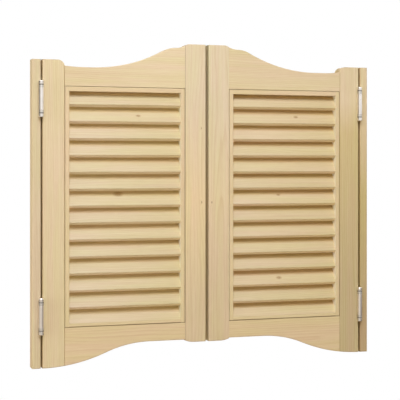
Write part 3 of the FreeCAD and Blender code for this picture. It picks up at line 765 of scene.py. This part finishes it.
def add_hole_shade(mesh, place, angle):
    """The dark mouth of a winding hole, as painted shade: a round patch that lies on a collar's side, with
    no hole behind it.
    """
    out = Vector((math.cos(angle), math.sin(angle), 0))
    across = Vector((-math.sin(angle), math.cos(angle), 0))
    rim = []
    for step in range(HOLE_STEPS):
        turn = 2 * math.pi * step / HOLE_STEPS
        aside = HOLE_RADIUS * math.cos(turn)
        depth = math.sqrt(BARREL ** 2 - aside ** 2) + HOLE_LIFT
        up = Vector((0, 0, HOLE_RADIUS * math.sin(turn)))
        rim.append(mesh.verts.new(Vector(place) + out * depth + across * aside + up))
    mesh.faces.new(rim)


def build_hinges():
    """The four hinges, as pieces of the bodies that they ride on. The springs stay as they are."""
    strip_flanges = bmesh.new()
    strip_screws = bmesh.new()
    strip_rings = bmesh.new()
    for side, way in SIDES.items():
        cover(f"{side}_hinge_springs", SPRING)
        # the barrel on the strip is the front one at the left and the rear one at the right
        strip_barrel = (way * STRIP_X, way * BARREL_Y)
        leaf_barrel = (way * LEAF_X, -way * BARREL_Y)
        front, rear = sorted((strip_barrel, leaf_barrel), key=lambda barrel: barrel[1])
        webs, pins, collars, holes, flanges, screws, rings = (bmesh.new() for _ in range(7))
        for height in HINGE_LEVELS:
            add_web(webs, way * GAP_MIDDLE, height, front[0], rear[0])
            add_flange(strip_flanges, way * STRIP_X, way, height)
            add_flange(flanges, way * LEAF_X, -way, height)
            for level in SCREW_LEVELS:
                add_screw(strip_screws, way * STRIP_X, -way, height + level)
                add_screw(screws, way * LEAF_X, way, height + level)
            # the rings' dark is partly painted shade of the grooves
            add_rings(strip_rings, (*strip_barrel, height))
            add_rings(rings, (*leaf_barrel, height))
            for barrel in (front, rear):
                add_pin(pins, (*barrel, height))
                add_collar(collars, (*barrel, height))
                middle = (*barrel, height + (COLLAR[0] + COLLAR[1]) / 2)
                for quarter in range(4):
                    add_hole_shade(holes, middle, math.radians(HOLE_TURN + 90 * quarter))
        web_body = f"{side}_webs"
        leaf_body = f"{side}_leaf"
        new_piece(f"{side}_rolled_webs", webs, NICKEL, web_body, "satin_nickel", f"{side}_hinge_webs")
        new_piece(f"{side}_headed_pins", pins, PIN, web_body, "pin_steel", f"{side}_hinge_pins")
        new_piece(f"{side}_tension_collars", collars, NICKEL, web_body, "satin_nickel",
                  f"{side}_hinge_collars")
        # the winding holes are only painted shade on the collars
        new_piece(f"{side}_winding_holes", holes, DARK, web_body, "satin_nickel")
        new_piece(f"{side}_leaf_plates", flanges, PLATE, leaf_body, "satin_nickel",
                  f"{side}_leaf_flanges")
        new_piece(f"{side}_leaf_screws", screws, PLATE, leaf_body, "satin_nickel")
        new_piece(f"{side}_leaf_rings", rings, DARK, leaf_body, "pin_steel")
    new_piece("strip_plates", strip_flanges, PLATE, "hanging_strips", "satin_nickel", "strip_flanges")
    new_piece("strip_screws", strip_screws, PLATE, "hanging_strips", "satin_nickel")
    new_piece("strip_rings", strip_rings, DARK, "hanging_strips", "pin_steel")


# ---------------------------------------------------------------- floor and surroundings

FLOOR_Z = -0.65
FLOOR_REACH = 30.0
# the floor as it throws light on the doors
FLOOR_MATT = linear(214, 200, 180)
# the floor as it is seen: over these distances from its middle it passes from a pale one that
# keeps the doors' shadow to plain white, with more glow of its own and less of the lamps' light
FLOOR_FADE = (1.5, 2.6)
FLOOR_GLOW = (0.87, 1.0)
FLOOR_PALE = (0.24, 0.0)
# a painted reflection: the floor as polished metal shows it glows, warm at the left and darker to the
# right, between these places along X
METAL_FLOOR_SPAN = (-0.6, 1.6)
METAL_FLOOR_LEFT = linear(216, 204, 187)
METAL_FLOOR_RIGHT = linear(88, 66, 48)

# the world's light, whose strength falls from 0.50 to 0.16 as what it comes from stands higher
SKY = (1.0, 0.83, 0.50, 1.0)
SKY_STRENGTH = (0.2, 0.5, 0.50, 0.16)
# a painted reflection, a black flag at the far left that only metal shows and that blocks no light: where
# it begins and is fullest on the way to the left, and how full
FLAG = (0.66, 0.88, 0.0, 0.9)
FLAG_BLACK = (0.02, 0.018, 0.015, 1.0)


def ray_kinds(tree):
    """Whether a ray comes from the camera or by way of metal or glass, and whether by way of metal."""
    path = tree.add("LightPath").outputs
    reflected = tree.math("MAXIMUM", path["Is Glossy Ray"], path["Is Transmission Ray"])
    return tree.math("MAXIMUM", path["Is Camera Ray"], reflected), path["Is Glossy Ray"]


def floor_material():
    """The floor's three looks: as it lights the doors, as it is seen, and as metal shows it, where it
    glows as a painted reflection.
    """
    tree = Tree(bpy.data.materials.new("pale_floor"))
    seen, in_metal = ray_kinds(tree)
    place = tree.add("TexCoord").outputs["Object"]
    matt = tree.result("BsdfDiffuse", {"Color": FLOOR_MATT})
    away = tree.vector("LENGTH", place)
    strength = tree.range(away, *FLOOR_FADE, *FLOOR_GLOW)
    glow = tree.result("Emission", {"Color": WHITE, "Strength": strength})
    pale = tree.range(away, *FLOOR_FADE, *FLOOR_PALE)
    faint = tree.result("BsdfDiffuse", {"Color": tree.result("CombineXYZ", {0: pale, 1: pale, 2: pale})})
    shown = tree.result("AddShader", {0: glow, 1: faint})
    plain = tree.result("MixShader", {0: seen, 1: matt, 2: shown})
    # painted reflection: metal sees the floor glow, darker to the right
    rightwards = tree.range(tree.split(place)[0], *METAL_FLOOR_SPAN)
    duller = tree.mix(rightwards, METAL_FLOOR_LEFT, METAL_FLOOR_RIGHT)
    painted_floor_reflection = tree.result("Emission", {"Color": duller, "Strength": 1.0})
    return tree.finish(tree.result("MixShader", {0: in_metal, 1: plain, 2: painted_floor_reflection}))


def stage_floor():
    """A wide floor below the doors."""
    mesh = bpy.data.meshes.new("floor")
    reach = FLOOR_REACH
    corners = [(-reach, -reach, 0.0), (reach, -reach, 0.0), (reach, reach, 0.0), (-reach, reach, 0.0)]
    mesh.from_pydata(corners, [], [(0, 1, 2, 3)])
    floor = bpy.data.objects.new("floor", mesh)
    floor.location.z = FLOOR_Z
    bpy.context.scene.collection.objects.link(floor)
    mesh.materials.append(floor_material())


def studio_world():
    """White where it is seen, with a black flag painted in that only metal shows, and a warm light on the
    doors.
    """
    world = bpy.data.worlds.new("studio")
    bpy.context.scene.world = world
    tree = Tree(world, "World")
    seen, in_metal = ray_kinds(tree)
    x, _, z = tree.split(tree.add("TexCoord").outputs["Generated"])
    # painted reflection: the black flag goes only into what metal shows
    flag = tree.range(tree.math("MULTIPLY", x, -1.0), *FLAG)
    backdrop = tree.mix(tree.math("MULTIPLY", flag, in_metal), WHITE, FLAG_BLACK)
    shown = tree.result("Background", {"Color": backdrop, "Strength": 1.0})
    light = tree.result("Background", {"Color": SKY, "Strength": tree.range(z, *SKY_STRENGTH)})
    tree.finish(tree.result("MixShader", {0: seen, 1: light, 2: shown}))


# ---------------------------------------------------------------- lamps and camera

# each lamp: its place, the point that it is aimed at, width, height, watts, and if metal shows it
LAMPS = {
    "key": ((-0.5, -2.15, 2.6), (-0.4, -1.2, -0.4), 2.2, 1.5, 83.0, True),
    "side": ((-2.6, -0.45, 0.5), (0.0, 0.0, 0.3), 1.2, 1.5, 19.0, False),
    "right_fill": ((2.6, 0.4, 0.5), (0.4, 0.0, 0.4), 0.6, 1.4, 11.0, False),
    "back_fill": ((1.5, 2.4, 1.9), (0.0, 0.0, 0.4), 1.8, 1.8, 33.0, True),
}

# the camera stands level, 18 degrees to the left of the doors, and its shift frames the photograph
CAMERA_PLACE = (-0.9855, -2.9917, 0.510)
CAMERA_TURN = math.radians(-17.987)
CAMERA_LENS = 108.576
CAMERA_SENSOR = 36.0
CAMERA_SHIFT = -0.0911


def softbox(name, place, aim, width, height, watts, in_metal):
    """A lamp as large as a window, aimed at a point."""
    data = bpy.data.lights.new(name, "AREA")
    data.shape = "RECTANGLE"
    data.size = width
    data.size_y = height
    data.energy = watts
    lamp = bpy.data.objects.new(name, data)
    lamp.location = place
    lamp.rotation_euler = (Vector(aim) - Vector(place)).to_track_quat("-Z", "Y").to_euler()
    lamp.visible_camera = False
    lamp.visible_glossy = in_metal
    bpy.context.scene.collection.objects.link(lamp)


def photo_camera():
    """The camera that sees the doors as the photograph does."""
    data = bpy.data.cameras.new("camera")
    data.sensor_width = CAMERA_SENSOR
    data.lens = CAMERA_LENS
    data.shift_y = CAMERA_SHIFT
    camera = bpy.data.objects.new("camera", data)
    camera.location = CAMERA_PLACE
    camera.rotation_euler = (math.radians(90), 0.0, CAMERA_TURN)
    bpy.context.scene.collection.objects.link(camera)
    bpy.context.scene.camera = camera


dress_boards()
build_hinges()
stage_floor()
studio_world()
for name, settings in LAMPS.items():
    softbox(name, *settings)
photo_camera()
bpy.context.scene.view_settings.view_transform = "Standard"
